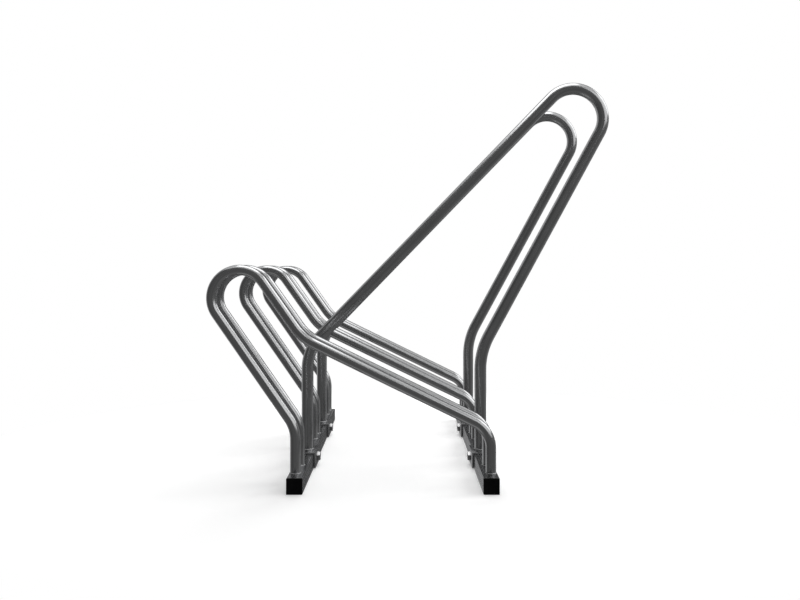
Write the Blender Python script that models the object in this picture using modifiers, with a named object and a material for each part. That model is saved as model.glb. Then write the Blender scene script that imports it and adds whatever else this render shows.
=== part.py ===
"""Bike parking stand with three wheel places and two tall leaning hoops on a pair of floor rails.

Metres, +Z up. X runs across the rails, from the side where the front wheels go in (left) to
the side where the bikes stand (right). Y runs along the rails, from the front to the rear.
The origin is on the floor, in the middle of the stand's outline.
"""

import math

import bmesh
import bpy
from mathutils import Matrix, Vector

# Wheel places along the rails
PLACES = 3
PLACE_SPACING = 0.350
TYRE_GAP = 0.050
FRONT_MARGIN = 0.047
REAR_MARGIN = 0.019

# Floor rails, square steel tube
RAIL_SPACING = 0.363
RAIL_SIZE = 0.030
RAIL_WALL = 0.002
RAIL_CORNER = 0.0025

# Wheel hoops: a pair of round tubes holds each front wheel between them
WHEEL_TUBE = 0.020
WHEEL_TUBE_WALL = 0.002
WHEEL_REACH = 0.1715
WHEEL_HEIGHT = 0.423
WHEEL_LEG_OUTSET = 0.003
WHEEL_CROWN_RADIUS = 0.053
WHEEL_KNEE_HEIGHT = 0.115
WHEEL_KNEE_RADIUS = 0.070
WHEEL_VALLEY_INSET = 0.0105
WHEEL_VALLEY_HEIGHT = 0.284
WHEEL_VALLEY_RADIUS = 0.094
WHEEL_SHOULDER_HEIGHT = 0.111
WHEEL_SHOULDER_RADIUS = 0.054

# Tall hoops: one stands between each two places, and the bike's frame leans on it
TALL_TUBE = 0.025
TALL_TUBE_WALL = 0.002
TALL_REACH = 0.2735
TALL_HEIGHT = 0.809
TALL_LEG_OUTSET = 0.0015
TALL_CROWN_RADIUS = 0.063
TALL_KNEE_HEIGHT = 0.244
TALL_KNEE_RADIUS = 0.100
TALL_HIP_HEIGHT = 0.2405
TALL_HIP_RADIUS = 0.150

# Saddle brackets: folded plates that carry the tall hoops and are bolted through the rails
BRACKET_PLATE = 0.004
BRACKET_LENGTH = 0.080
BRACKET_CORNER_RADIUS = 0.002
BRACKET_FLOOR_GAP = 0.0015

# Bolts, washers and nuts
BOLT_DIAMETER = 0.010
BOLT_RISE = 0.004
BOLT_TAIL = 0.003
HEX_SHOULDER = 0.0035
HEX_TURN = math.radians(10)
HEAD_THICKNESS = 0.0064
NUT_THICKNESS = 0.008
WASHER_RIM = 0.005
WASHER_THICKNESS = 0.0016
HOLE_CLEARANCE = 0.0005

# Ribbed plastic plugs in the rail ends
PLUG_FLANGE = 0.004
PLUG_EDGE = 0.0008
PLUG_STEM_LENGTH = 0.018
PLUG_STEM_INSET = 0.0015
PLUG_STEM_WALL = 0.0022
PLUG_RIBS = 3
PLUG_RIB_THICKNESS = 0.0015

# Fits and roundness
SEAT_GAP = 0.0003
BEND_STEP = math.radians(10)
TUBE_ROUNDNESS = 4
BORE_SIDES = 20
CUT_OVERRUN = 0.002

# Places that follow from the sizes above
PAIR_SPACING = TYRE_GAP + WHEEL_TUBE
LENGTH = FRONT_MARGIN + (PLACES - 1) * PLACE_SPACING + PAIR_SPACING + REAR_MARGIN
RAIL_LENGTH = LENGTH - 2 * PLUG_FLANGE - 2 * SEAT_GAP
LEFT_RAIL_X = (WHEEL_REACH - RAIL_SPACING - TALL_REACH) / 2
RIGHT_RAIL_X = LEFT_RAIL_X + RAIL_SPACING
FIRST_HOOP_Y = FRONT_MARGIN - LENGTH / 2
BRACKET_INSIDE = RAIL_SIZE / 2 + SEAT_GAP
BRACKET_TOP = RAIL_SIZE + SEAT_GAP + BRACKET_PLATE
BRACKET_SEAT = BRACKET_INSIDE + BRACKET_PLATE + SEAT_GAP
NUT_SEAT = BRACKET_SEAT + WASHER_THICKNESS + SEAT_GAP
BOLT_HEIGHT = RAIL_SIZE / 2 + BOLT_RISE
HOLE_RADIUS = BOLT_DIAMETER / 2 + HOLE_CLEARANCE
HEX_RADIUS = (BOLT_DIAMETER + 2 * HEX_SHOULDER) / math.sqrt(3)
WASHER_RADIUS = BOLT_DIAMETER / 2 + WASHER_RIM


def clear_scene():
    """Start from nothing."""
    for old in list(bpy.data.objects):
        bpy.data.objects.remove(old)


def new_collection(name):
    """A collection linked to the scene."""
    collection = bpy.data.collections.new(name)
    bpy.context.scene.collection.children.link(collection)
    return collection


clear_scene()
STAND = new_collection("bike_parking_stand")
CUTTERS = new_collection("cutters")


def new_material(name, colour, roughness, metallic):
    """A plain surface with its colour, roughness and metallic value."""
    material = bpy.data.materials.new(name)
    material.use_nodes = True
    shader = material.node_tree.nodes["Principled BSDF"]
    shader.inputs["Base Color"].default_value = (*colour, 1)
    shader.inputs["Roughness"].default_value = roughness
    shader.inputs["Metallic"].default_value = metallic
    return material


GALVANISED = new_material("galvanised_steel", (0.40, 0.41, 0.42), 0.22, 1.0)
PLASTIC = new_material("black_plastic", (0.006, 0.006, 0.006), 0.55, 0.0)
ZINC = new_material("bright_zinc_plate", (0.62, 0.63, 0.64), 0.25, 1.0)


def add_object(name, data, material, collection=STAND):
    """An object with its material, linked to a collection."""
    made = bpy.data.objects.new(name, data)
    data.materials.append(material)
    collection.objects.link(made)
    return made


def finish_mesh(bm, name):
    """A mesh from the bmesh, smooth on its round sides and sharp at its edges."""
    mesh = bpy.data.meshes.new(name)
    bm.to_mesh(mesh)
    bm.free()
    mesh.shade_smooth()
    mesh.set_sharp_from_angle(angle=math.radians(35))
    return mesh


def box_mesh(name, size, edge_radius=0.0, along=None):
    """A box about the origin. Its edges are rounded, or only those that run along one axis."""
    bm = bmesh.new()
    bmesh.ops.create_cube(bm, size=1)
    bmesh.ops.scale(bm, vec=Vector(size), verts=bm.verts)
    if edge_radius > 0:
        rounded = [edge for edge in bm.edges if along is None or runs_along(edge, along)]
        bmesh.ops.bevel(bm, geom=rounded, offset=edge_radius, segments=2, profile=0.5, affect="EDGES")
    return finish_mesh(bm, name)


def runs_along(edge, axis):
    """Whether an edge runs along X (0), Y (1) or Z (2)."""
    direction = (edge.verts[1].co - edge.verts[0].co).normalized()
    return abs(direction[axis]) > 0.99


def prism_mesh(name, radius, start, end, sides, turn=0.0):
    """A prism or cylinder along X, from start to end."""
    bm = bmesh.new()
    bmesh.ops.create_cone(
        bm, cap_ends=True, segments=sides, radius1=radius, radius2=radius, depth=end - start
    )
    to_x = Matrix.Rotation(turn, 4, "X") @ Matrix.Rotation(math.pi / 2, 4, "Y")
    centre = Matrix.Translation(((start + end) / 2, 0, 0))
    bmesh.ops.transform(bm, matrix=centre @ to_x, verts=bm.verts)
    return finish_mesh(bm, name)


def add_cutter(name, mesh, location=(0, 0, 0)):
    """A hidden object that cuts or extends another."""
    cutter = add_object(name, mesh, GALVANISED, CUTTERS)
    cutter.location = location
    cutter.hide_render = True
    cutter.display_type = "WIRE"
    return cutter


def combine(target, tool, operation):
    """Cut the tool out of the target, or join it on."""
    modifier = target.modifiers.new(tool.name, "BOOLEAN")
    modifier.operation = operation
    modifier.solver = "EXACT"
    modifier.object = tool


def bake(shaped):
    """The finished mesh of an object, which is then removed with its modifiers."""
    bpy.context.view_layer.update()
    graph = bpy.context.evaluated_depsgraph_get()
    mesh = bpy.data.meshes.new_from_object(shaped.evaluated_get(graph))
    mesh.name = shaped.name
    mesh.set_sharp_from_angle(angle=math.radians(35))
    bpy.data.objects.remove(shaped)
    return mesh


def tangent_point(point, centre, radius, turn):
    """Where a line from the point touches a circle that lies to the right (1) or left (-1) of it."""
    spoke = centre - point
    aim = math.atan2(spoke.y, spoke.x) + turn * math.asin(radius / spoke.length)
    reach = math.sqrt(spoke.length_squared - radius**2)
    return point + reach * Vector((math.cos(aim), math.sin(aim)))


def arc(centre, radius, start, turn):
    """Points along an arc, from the angle start through turn."""
    steps = max(1, round(abs(turn) / BEND_STEP))
    angles = [start + turn * step / steps for step in range(steps + 1)]
    return [centre + radius * Vector((math.cos(angle), math.sin(angle))) for angle in angles]


def bend(before, corner, after, radius):
    """Points of the arc that rounds the corner between two straight runs."""
    back = (before - corner).normalized()
    onward = (after - corner).normalized()
    half = back.angle(onward) / 2
    centre = corner + (back + onward).normalized() * radius / math.sin(half)
    spoke = corner + back * radius / math.tan(half) - centre
    turn = math.copysign(math.pi - 2 * half, onward.cross(back))
    return arc(centre, radius, math.atan2(spoke.y, spoke.x), turn)


def crown_arc(before, centre, radius, after):
    """Where the straight runs from and to these points touch the crown, and its arc between them."""
    start = tangent_point(before, centre, radius, 1)
    end = tangent_point(after, centre, radius, -1)
    start_angle = math.atan2(start.y - centre.y, start.x - centre.x)
    end_angle = math.atan2(end.y - centre.y, end.x - centre.x)
    turn = (start_angle - end_angle) % (2 * math.pi)
    return start, end, arc(centre, radius, start_angle, -turn)


def wheel_hoop_path(foot_height):
    """Centre line of a wheel hoop in X and Z, from its left foot to its right foot."""
    left_foot = Vector((LEFT_RAIL_X - WHEEL_LEG_OUTSET, foot_height))
    right_foot = Vector((RIGHT_RAIL_X + WHEEL_LEG_OUTSET, foot_height))
    inside = WHEEL_TUBE / 2 + WHEEL_CROWN_RADIUS
    crown = Vector((LEFT_RAIL_X - WHEEL_REACH + inside, WHEEL_HEIGHT - inside))
    knee = Vector((left_foot.x, WHEEL_KNEE_HEIGHT))
    valley = Vector((LEFT_RAIL_X + WHEEL_VALLEY_INSET, WHEEL_VALLEY_HEIGHT))
    shoulder = Vector((right_foot.x, WHEEL_SHOULDER_HEIGHT))
    front_run, back_run, crown_points = crown_arc(knee, crown, WHEEL_CROWN_RADIUS, valley)
    return [
        left_foot,
        *bend(left_foot, knee, front_run, WHEEL_KNEE_RADIUS),
        *crown_points,
        *bend(back_run, valley, shoulder, WHEEL_VALLEY_RADIUS),
        *bend(valley, shoulder, right_foot, WHEEL_SHOULDER_RADIUS),
        right_foot,
    ]


def tall_hoop_path(foot_height):
    """Centre line of a tall hoop in X and Z, from its left foot to its right foot."""
    left_foot = Vector((LEFT_RAIL_X - TALL_LEG_OUTSET, foot_height))
    right_foot = Vector((RIGHT_RAIL_X + TALL_LEG_OUTSET, foot_height))
    inside = TALL_TUBE / 2 + TALL_CROWN_RADIUS
    crown = Vector((RIGHT_RAIL_X + TALL_REACH - inside, TALL_HEIGHT - inside))
    knee = Vector((left_foot.x, TALL_KNEE_HEIGHT))
    hip = Vector((right_foot.x, TALL_HIP_HEIGHT))
    left_run, right_run, crown_points = crown_arc(knee, crown, TALL_CROWN_RADIUS, hip)
    return [
        left_foot,
        *bend(left_foot, knee, left_run, TALL_KNEE_RADIUS),
        *crown_points,
        *bend(right_run, hip, right_foot, TALL_HIP_RADIUS),
        right_foot,
    ]


def add_tube(name, path, diameter, wall, y):
    """A bent round tube, open at its feet, along a path in the plane at y."""
    curve = bpy.data.curves.new(name, "CURVE")
    curve.dimensions = "3D"
    curve.bevel_depth = diameter / 2
    curve.bevel_resolution = TUBE_ROUNDNESS
    spline = curve.splines.new("POLY")
    spline.points.add(len(path) - 1)
    for point, place in zip(spline.points, path):
        point.co = (place.x, 0, place.y, 1)
    tube = add_object(name, curve, GALVANISED)
    tube.location = (0, y, 0)
    shell = tube.modifiers.new("wall", "SOLIDIFY")
    shell.thickness = wall
    shell.offset = -1


def place_hoop_ys(place):
    """Where the two wheel hoops of a place stand along the rails."""
    front = FIRST_HOOP_Y + place * PLACE_SPACING
    return front, front + PAIR_SPACING


def tall_hoop_ys():
    """Where the tall hoops stand: midway between each two places."""
    return [
        (place_hoop_ys(place)[1] + place_hoop_ys(place + 1)[0]) / 2 for place in range(PLACES - 1)
    ]


def add_wheel_hoops():
    """The pairs of hoops that stand on the rails."""
    path = wheel_hoop_path(RAIL_SIZE + SEAT_GAP)
    for place in range(PLACES):
        for side, y in zip(("front", "rear"), place_hoop_ys(place)):
            add_tube(f"wheel_hoop_{place + 1}_{side}", path, WHEEL_TUBE, WHEEL_TUBE_WALL, y)


def add_tall_hoops():
    """The hoops that stand on the saddle brackets."""
    path = tall_hoop_path(BRACKET_TOP + SEAT_GAP)
    for number, y in enumerate(tall_hoop_ys(), start=1):
        add_tube(f"tall_hoop_{number}", path, TALL_TUBE, TALL_TUBE_WALL, y)


def add_rail(name, x):
    """A square tube, open at its ends, with a bolt hole for each tall hoop."""
    outside = (RAIL_SIZE, RAIL_LENGTH, RAIL_SIZE)
    rail = add_object(name, box_mesh(name, outside, RAIL_CORNER, along=1), GALVANISED)
    rail.location = (x, 0, RAIL_SIZE / 2)
    bore = RAIL_SIZE - 2 * RAIL_WALL
    hollow = box_mesh(f"{name}_hollow", (bore, RAIL_LENGTH + 2 * CUT_OVERRUN, bore))
    combine(rail, add_cutter(f"{name}_hollow", hollow, rail.location), "DIFFERENCE")
    reach = RAIL_SIZE / 2 + CUT_OVERRUN
    for number, y in enumerate(tall_hoop_ys(), start=1):
        hole = prism_mesh(f"{name}_hole_{number}", HOLE_RADIUS, -reach, reach, BORE_SIDES)
        cutter = add_cutter(f"{name}_hole_{number}", hole, (x, y, BOLT_HEIGHT))
        combine(rail, cutter, "DIFFERENCE")


def plug_mesh():
    """A plug whose flange face is at y = 0 and whose ribbed stem runs along +Y."""
    flange = box_mesh("plug", (RAIL_SIZE, PLUG_FLANGE, RAIL_SIZE), PLUG_EDGE)
    plug = add_object("plug", flange, PLASTIC)
    plug.location = (0, PLUG_FLANGE / 2, 0)
    rib_width = RAIL_SIZE - 2 * RAIL_WALL - 2 * SEAT_GAP
    stem_width = rib_width - 2 * PLUG_STEM_INSET
    stem_size = (stem_width, PLUG_STEM_LENGTH + PLUG_FLANGE / 2, stem_width)
    stem_y = (PLUG_FLANGE / 2 + PLUG_FLANGE + PLUG_STEM_LENGTH) / 2
    combine(plug, add_cutter("stem", box_mesh("stem", stem_size), (0, stem_y, 0)), "UNION")
    for number in range(PLUG_RIBS):
        rib = box_mesh(f"rib_{number}", (rib_width, PLUG_RIB_THICKNESS, rib_width))
        rib_y = PLUG_FLANGE + PLUG_STEM_LENGTH * (number + 1) / (PLUG_RIBS + 1)
        combine(plug, add_cutter(f"rib_{number}", rib, (0, rib_y, 0)), "UNION")
    well_width = stem_width - 2 * PLUG_STEM_WALL
    well_size = (well_width, PLUG_STEM_LENGTH + CUT_OVERRUN, well_width)
    well_y = PLUG_FLANGE + (PLUG_STEM_LENGTH + CUT_OVERRUN) / 2
    combine(plug, add_cutter("well", box_mesh("well", well_size), (0, well_y, 0)), "DIFFERENCE")
    mesh = bake(plug)
    mesh.transform(Matrix.Translation((0, PLUG_FLANGE / 2, 0)))
    return mesh


def add_plugs():
    """One plug in each end of each rail."""
    mesh = plug_mesh()
    for side, x in (("left", LEFT_RAIL_X), ("right", RIGHT_RAIL_X)):
        for end, y, turn in (("front", -LENGTH / 2, 0), ("rear", LENGTH / 2, math.pi)):
            plug = bpy.data.objects.new(f"plug_{side}_{end}", mesh)
            STAND.objects.link(plug)
            plug.location = (x, y, RAIL_SIZE / 2)
            plug.rotation_euler = (0, 0, turn)


def bracket_mesh():
    """A plate folded down over both sides of a rail, with a bolt hole across it."""
    height = RAIL_SIZE + SEAT_GAP - BRACKET_FLOOR_GAP
    bm = bmesh.new()
    bmesh.ops.create_cube(bm, size=1)
    bmesh.ops.scale(bm, vec=(2 * BRACKET_INSIDE, BRACKET_LENGTH, height), verts=bm.verts)
    bmesh.ops.translate(bm, vec=(0, 0, BRACKET_FLOOR_GAP + height / 2), verts=bm.verts)
    open_sides = [face for face in bm.faces if face.normal.z < -0.5 or abs(face.normal.y) > 0.5]
    bmesh.ops.delete(bm, geom=open_sides, context="FACES")
    corners = [vert for vert in bm.verts if vert.co.z < RAIL_SIZE / 2]
    bmesh.ops.bevel(
        bm, geom=corners, offset=BRACKET_CORNER_RADIUS, segments=4, profile=0.5, affect="VERTICES"
    )
    bracket = add_object("bracket", finish_mesh(bm, "bracket"), GALVANISED)
    plate = bracket.modifiers.new("plate", "SOLIDIFY")
    plate.thickness = BRACKET_PLATE
    plate.offset = 1
    plate.use_even_offset = True
    reach = BRACKET_SEAT + CUT_OVERRUN
    hole = prism_mesh("bracket_hole", HOLE_RADIUS, -reach, reach, BORE_SIDES)
    combine(bracket, add_cutter("bracket_hole", hole, (0, 0, BOLT_HEIGHT)), "DIFFERENCE")
    return bake(bracket)


def add_brackets():
    """One bracket under each foot of each tall hoop."""
    mesh = bracket_mesh()
    for side, x in (("left", LEFT_RAIL_X), ("right", RIGHT_RAIL_X)):
        for number, y in enumerate(tall_hoop_ys(), start=1):
            bracket = bpy.data.objects.new(f"saddle_bracket_{side}_{number}", mesh)
            STAND.objects.link(bracket)
            bracket.location = (x, y, 0)


def bolt_places():
    """Each bolt's name, where it crosses its rail, and the turn that puts its head on the inside."""
    for side, x, turn in (("left", LEFT_RAIL_X, 0), ("right", RIGHT_RAIL_X, math.pi)):
        for number, y in enumerate(tall_hoop_ys(), start=1):
            yield f"{side}_{number}", (x, y, BOLT_HEIGHT), turn


def hex_mesh(name, start, end):
    """A hexagonal head or nut across X."""
    return prism_mesh(name, HEX_RADIUS, start, end, 6, HEX_TURN)


def bolt_mesh():
    """A hexagon bolt along X, with its head at +X."""
    head = hex_mesh("bolt", BRACKET_SEAT, BRACKET_SEAT + HEAD_THICKNESS)
    bolt = add_object("bolt", head, ZINC)
    tail = NUT_SEAT + NUT_THICKNESS + BOLT_TAIL
    inside_head = BRACKET_SEAT + HEAD_THICKNESS / 2
    shank = prism_mesh("shank", BOLT_DIAMETER / 2, -tail, inside_head, BORE_SIDES)
    combine(bolt, add_cutter("shank", shank), "UNION")
    return bake(bolt)


def drilled(name, mesh):
    """A nut or washer with its bore, which clears the bolt by the seat gap."""
    solid = add_object(name, mesh, ZINC)
    reach = NUT_SEAT + NUT_THICKNESS + CUT_OVERRUN
    bore = prism_mesh(f"{name}_bore", BOLT_DIAMETER / 2 + SEAT_GAP, -reach, reach, BORE_SIDES)
    combine(solid, add_cutter(f"{name}_bore", bore), "DIFFERENCE")
    return bake(solid)


def add_fasteners():
    """The bolts that hold the brackets to the rails, with their washers and nuts."""
    washer_end = BRACKET_SEAT + WASHER_THICKNESS
    nut_washer = prism_mesh("nut_washer", WASHER_RADIUS, -washer_end, -BRACKET_SEAT, BORE_SIDES)
    nut = hex_mesh("nut", -NUT_SEAT - NUT_THICKNESS, -NUT_SEAT)
    meshes = {
        "bolt": bolt_mesh(),
        "nut_washer": drilled("nut_washer", nut_washer),
        "nut": drilled("nut", nut),
    }
    for place, location, turn in bolt_places():
        for kind, mesh in meshes.items():
            fastener = bpy.data.objects.new(f"{kind}_{place}", mesh)
            STAND.objects.link(fastener)
            fastener.location = location
            fastener.rotation_euler = (0, 0, turn)


add_rail("rail_left", LEFT_RAIL_X)
add_rail("rail_right", RIGHT_RAIL_X)
add_plugs()
add_wheel_hoops()
add_brackets()
add_tall_hoops()
add_fasteners()
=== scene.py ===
"""The look of a bike parking stand: bent steel tubes on two square floor rails, in a white studio.

Metres, +Z up, in the part's own frame: X across the rails, Y along them from front to rear.
"""

import math

import bmesh
import bpy
from mathutils import Matrix, Vector


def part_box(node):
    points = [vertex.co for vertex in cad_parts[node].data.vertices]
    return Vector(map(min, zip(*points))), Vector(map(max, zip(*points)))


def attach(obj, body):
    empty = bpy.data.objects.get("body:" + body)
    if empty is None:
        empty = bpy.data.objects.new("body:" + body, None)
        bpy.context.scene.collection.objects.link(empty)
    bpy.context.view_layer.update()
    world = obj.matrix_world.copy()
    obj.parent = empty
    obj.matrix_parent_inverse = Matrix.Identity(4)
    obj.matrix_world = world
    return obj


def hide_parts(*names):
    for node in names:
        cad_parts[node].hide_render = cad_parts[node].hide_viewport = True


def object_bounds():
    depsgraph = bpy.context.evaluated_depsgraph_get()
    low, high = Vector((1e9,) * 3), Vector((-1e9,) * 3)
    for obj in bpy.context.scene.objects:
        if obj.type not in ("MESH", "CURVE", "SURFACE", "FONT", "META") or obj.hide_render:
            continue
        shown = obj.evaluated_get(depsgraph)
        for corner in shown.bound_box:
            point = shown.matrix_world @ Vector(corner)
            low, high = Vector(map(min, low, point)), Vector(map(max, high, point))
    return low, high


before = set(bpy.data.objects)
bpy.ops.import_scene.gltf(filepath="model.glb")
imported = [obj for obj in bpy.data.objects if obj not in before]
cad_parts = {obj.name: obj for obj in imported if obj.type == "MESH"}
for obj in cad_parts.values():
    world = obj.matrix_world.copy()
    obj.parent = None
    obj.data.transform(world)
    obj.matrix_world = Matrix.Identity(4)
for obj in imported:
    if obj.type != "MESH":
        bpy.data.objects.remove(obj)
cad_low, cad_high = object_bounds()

# Wheel hoops, the low ones that hold the front wheels
WHEEL_TUBE = 0.020
WHEEL_REACH = 0.1715
WHEEL_HEIGHT = 0.423
WHEEL_LEG_OUTSET = 0.003
WHEEL_CROWN_RADIUS = 0.053
WHEEL_KNEE_HEIGHT = 0.115
WHEEL_KNEE_RADIUS = 0.070
WHEEL_VALLEY_INSET = 0.0105
WHEEL_VALLEY_HEIGHT = 0.284
WHEEL_VALLEY_RADIUS = 0.094
WHEEL_SHOULDER_HEIGHT = 0.111
WHEEL_SHOULDER_RADIUS = 0.054

# Tall hoops, which the bikes' frames lean on
TALL_TUBE = 0.025
TALL_REACH = 0.2735
TALL_HEIGHT = 0.809
TALL_LEG_OUTSET = 0.0015
TALL_CROWN_RADIUS = 0.063
TALL_KNEE_HEIGHT = 0.244
TALL_KNEE_RADIUS = 0.100
TALL_HIP_HEIGHT = 0.2405
TALL_HIP_RADIUS = 0.150

# Rails and the saddle brackets on them
RAIL_CORNER = 0.0015
RAIL_WALL = 0.002
RAIL_BORE_CORNER = 0.0005
BRACKET_PLATE = 0.004
BRACKET_CORNER_RADIUS = 0.002
BRACKET_EDGE = 0.0006

# Plugs in the rail ends
PLUG_FLANGE = 0.004
PLUG_EDGE = 0.0008
PLUG_CORNER = 0.0016
PLUG_DISH = 0.0004
PLUG_STEM = 0.0113
PLUG_STEM_WALL = 0.0022
PLUG_FIN = 0.0127
PLUG_FIN_THICKNESS = 0.0015
PLUG_FINS = 3

# Hexagon bolts with their nuts and washers
BOLT_DIAMETER = 0.010
THREAD_PITCH = 0.0015
THREAD_DEPTH = 0.0009
HEAD_THICKNESS = 0.0064
HEAD_DISH = 0.0003
HEAD_RIM = 0.0006
HEX_FLATS = 0.017
HEX_CROWN = 0.0080
HEX_CROWN_SLOPE = math.tan(math.radians(30))
NUT_CLEARANCE = 0.0001
WASHER_CLEARANCE = 0.0003
WASHER_EDGE = 0.0002

# The roll of every hexagon about its bolt, and what each side adds, so that the sides mirror each other
HEX_TURN = math.radians(20)
HEX_ROLL = {"left": -2 * HEX_TURN, "right": 0.0}

# Weld beads round the hoops' feet. Their middles lie up and out by shares of their radii, and their
# unevenness comes in so many patches to the metre
WHEEL_BEAD = 0.0011
TALL_BEAD = 0.0014
BEAD_UP = 1 / 4
BEAD_OUT = 1 / 8
BEAD_RIPPLE = 0.0017
BEAD_RIPPLE_HEIGHT = 0.00013
BEAD_UNEVENNESS = 0.0004
BEAD_PATCHES = 260.0
BEAD_SEED = 7.0

# Fineness of the round shapes
BEND_STEP = math.radians(3)
TUBE_SIDES = 48
CORNER_POINTS = 9
PLUG_EDGE_STEPS = 4
HEX_POINTS = 48
THREAD_ROWS = 8
BRACKET_CORNER_STEPS = 8
BRACKET_EDGE_STEPS = 2
BEAD_RING_SIDES = 64
BEAD_STEP = 0.00028
BEAD_SIDES = 12
STAGE_SIDES = 96

# Edges sharper than these angles stay sharp in smooth shading, and the brackets' are rounded
SMOOTH_ANGLE = math.radians(35)
TUBE_SMOOTH_ANGLE = math.radians(60)
BEAD_SMOOTH_ANGLE = math.radians(80)
BRACKET_EDGE_ANGLE = math.radians(40)

# The photograph's camera
CAMERA_BACK = 1.677
CAMERA_HEIGHT = 0.4155
CAMERA_LENS = 41.09
CAMERA_SHIFT = (-0.0010, -0.0391)
CAMERA_X = -0.0365

# Colours of the finishes
STEEL_DARK = (0.30, 0.303, 0.307)
STEEL_LIGHT = (0.49, 0.493, 0.498)
STEEL_EDGE = (0.60, 0.60, 0.61)
WELD_LIGHT = (0.55, 0.55, 0.55)
ZINC_DARK = (0.30, 0.30, 0.303)
ZINC_LIGHT = (0.42, 0.42, 0.423)
PLASTIC_DARK = (0.0016, 0.0016, 0.0017)
PLASTIC_LIGHT = (0.0030, 0.0030, 0.0031)
DUST_COLOUR = (0.45, 0.44, 0.42)

# The lines and patches of each finish, in metres
STEEL_LINES = {"Line Width": 0.0022, "Line Length": 1.4, "Patch Size": 0.045}
WELD_LINES = {"Line Width": 0.0012, "Line Length": 0.0012, "Patch Size": 0.005}
ZINC_LINES = {"Line Width": 0.0008, "Line Length": 0.003, "Patch Size": 0.006}
PLASTIC_LINES = {"Line Width": 0.0006, "Line Length": 0.0006, "Patch Size": 0.007}

# The patches of dust on each finish, in metres, and how strong the dust is
STEEL_DUST = {"Patch Size": 0.018, "Amount": 0.05}
ZINC_DUST = {"Patch Size": 0.008, "Amount": 0.08}
PLASTIC_DUST = {"Patch Size": 0.006, "Amount": 0.06}

# How much the patches count beside the lines in steel's shade, and how many metres further along the
# grain a hoop starts for each metre that it stands further back
STEEL_PATCH_SHARE = 0.25
GRAIN_SHIFT = 10

# Between which values noise is stretched to full contrast, and which slopes hold dust
LINES_SPREAD = (0.3, 0.7)
DUST_SPREAD = (0.35, 0.75)
DUST_SLOPE = (0.2, 0.95)

# The smoothest and the roughest of each finish
TUBE_ROUGHNESS = (0.16, 0.24)
RAIL_ROUGHNESS = (0.22, 0.30)
WELD_ROUGHNESS = (0.24, 0.42)
ZINC_ROUGHNESS = (0.20, 0.34)
PLASTIC_ROUGHNESS = (0.42, 0.60)

# How high each finish's lines stand out
STEEL_RELIEF = 0.000006
WELD_RELIEF = 0.00005
ZINC_RELIEF = 0.00002
PLASTIC_RELIEF = 0.00004

# What is the same all over each kind of finish
METAL = {"Metallic": 1.0, "Specular Tint": (*STEEL_EDGE, 1)}
PLASTIC = {"Specular IOR Level": 0.08}

# The white floor, and the dark studio far beyond it, which the camera doesn't see
FLOOR_RADIUS = 1.05
FLOOR_FADE = 0.80
FLOOR_COLOUR = (0.80, 0.80, 0.80)
FLOOR_LIFT = 0.23
WORLD_LIGHT = 0.50
STUDIO_RADIUS = 12.0
STUDIO_DEPTH = 13.6
WALL_STEP = math.radians(6)

# The studio's walls: from which azimuth to which, in degrees from +Y towards +X, and their tops
STUDIO_WALLS = ((32, 180, 13.6), (180, 276, 17.0), (276, 338, 13.6), (338, 392, 9.0))

# How bright the dark studio is in each direction, in degrees from +Y towards +X, and how bright it is
# below the stand, which takes over between two sines of the angle down
STUDIO_GLOW = {
    -180: 0.16,
    -110: 0.105,
    -86: 0.11,
    -70: 0.45,
    -42: 0.82,
    -20: 0.80,
    -2: 0.25,
    8: 0.12,
    32: 0.26,
    50: 0.62,
    66: 0.30,
    115: 0.14,
}
STUDIO_UNDER = 0.18
STUDIO_UNDER_FROM = 0.40
STUDIO_UNDER_TO = 0.62

# A paler patch of the studio's ground, down to the left, by the cosines of its rim's and core's angles
PATCH_AZIMUTH = math.radians(-103)
PATCH_ELEVATION = math.radians(-63)
PATCH_GLOW = 0.42
PATCH_RIM = 0.92
PATCH_CORE = 0.97

# The lamp over the stand: its height, its sides along X and Y, and its brightness, where 1 is white
CEILING_HEIGHT = 2.17
CEILING_SIDES = (1.52, 1.40)
CEILING_BRIGHTNESS = 2.3

# Softboxes as the stand sees them: the azimuth of the middle from +Y towards +X, its elevation, the
# width and the height, all in degrees, and the brightness
LAMP_TARGET = Vector((0, 0, 0.4))
LAMP_DISTANCE = 6.9
SOFTBOXES = {
    "right_behind": (71, 31, 43, 31, 2.6),
    "right_front": (126, 25, 48, 38, 1.15),
}

# The lamp behind the stand, given in the same way, which throws its shadow forward and isn't seen in
# the metal
BACK_LAMP = (0, 42, 26, 24, 8.0)

# The nodes' names: three wheel places, and the two gaps between them with two bolted brackets each
PLACES = ("1", "2", "3")
GAPS = ("1", "2")
SIDES = ("left", "right")
ENDS = ("front", "rear")
WHEEL_HOOPS = [f"wheel_hoop_{place}_{end}" for place in PLACES for end in ENDS]
TALL_HOOPS = [f"tall_hoop_{gap}" for gap in GAPS]
BOLTED = [f"{side}_{gap}" for side in SIDES for gap in GAPS]

# Where the frame has the rails and the tops of the brackets
RAIL = {side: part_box(f"rail_{side}") for side in SIDES}
RAIL_X = {side: (RAIL[side][0].x + RAIL[side][1].x) / 2 for side in SIDES}
RAIL_TOP = RAIL["left"][1].z
BRACKET_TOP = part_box("saddle_bracket_left_1")[1].z


def middle(node):
    """The middle of a node's box."""
    low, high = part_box(node)
    return (low + high) / 2


def tangent_point(point, centre, radius, turn):
    """Where a line from the point touches a circle that lies to the right (1) or left (-1) of it."""
    spoke = centre - point
    aim = math.atan2(spoke.y, spoke.x) + turn * math.asin(radius / spoke.length)
    reach = math.sqrt(spoke.length_squared - radius**2)
    return point + reach * Vector((math.cos(aim), math.sin(aim)))


def arc(centre, radius, start, turn):
    """Points along an arc, from the angle start through turn."""
    steps = max(1, round(abs(turn) / BEND_STEP))
    angles = [start + turn * step / steps for step in range(steps + 1)]
    return [centre + radius * Vector((math.cos(angle), math.sin(angle))) for angle in angles]


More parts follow.
